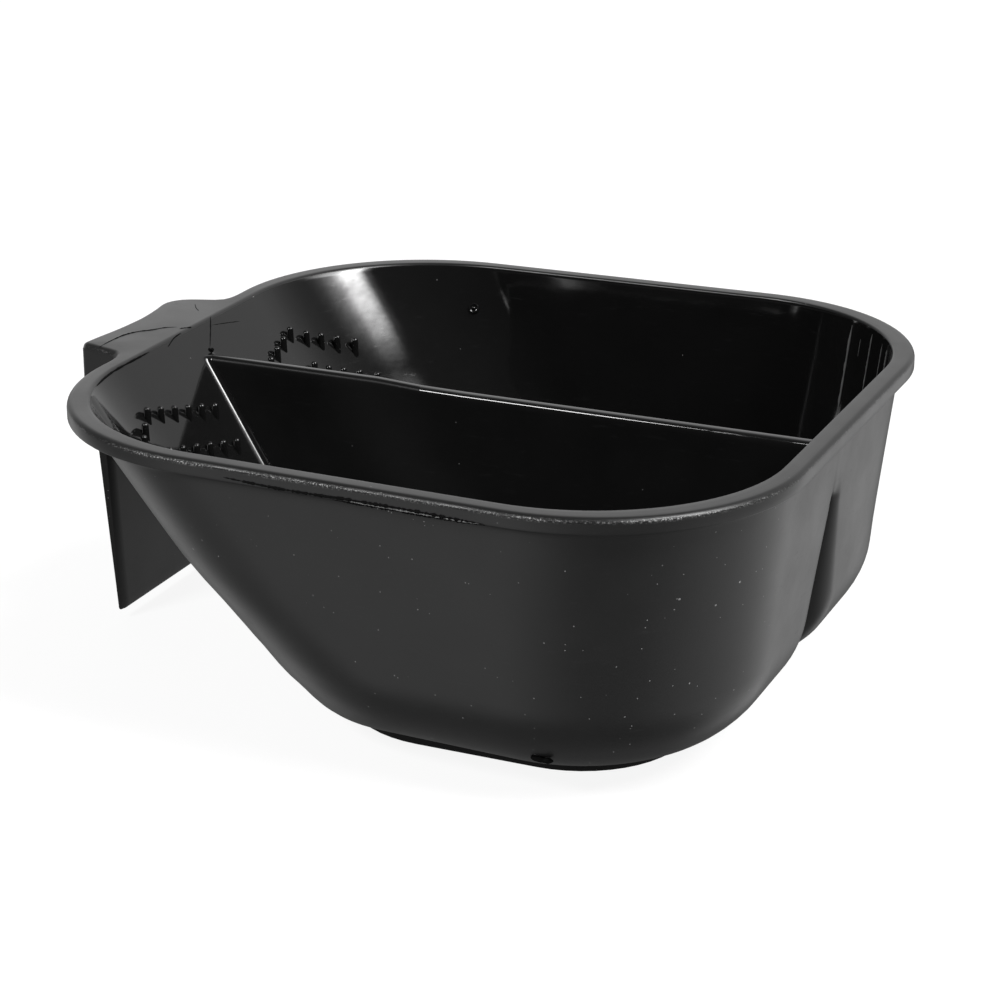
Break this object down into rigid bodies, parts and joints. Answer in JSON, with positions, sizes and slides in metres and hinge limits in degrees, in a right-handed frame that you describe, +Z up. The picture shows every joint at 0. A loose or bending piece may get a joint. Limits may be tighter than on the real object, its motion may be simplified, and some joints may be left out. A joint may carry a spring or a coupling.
{
  "type": "hair color bowl",
  "caption": "Two-compartment hair tint bowl with a sloped scraping wall, rows of brush nubs, a hanging finger grip and a rubber foot ring.",
  "frame": {"origin": "on the surface the bowl stands on, below the middle of the bounding box", "axes": "+X from the grip towards the end wall, +Y towards the compartment beside the grip's rounded corner, +Z up out of the bowl"},
  "size_m": [0.17, 0.16, 0.065],
  "materials": {
    "black_plastic": "injection-moulded black plastic, glossy inside and satin outside, with fine dust and scuffs",
    "black_rubber": "matte black non-slip rubber"
  },
  "bodies": {
    "root": {"front_tub": "black_plastic", "rear_tub": "black_plastic", "rim_collar": "black_plastic", "grip_web": "black_plastic", "grip_plate": "black_plastic", "front_foot_rib": "black_plastic", "rear_foot_rib": "black_plastic", "front_scraper_nubs": "black_plastic", "rear_scraper_nubs": "black_plastic", "rubber_foot_ring": "black_rubber"}
  },
  "joints": []
}
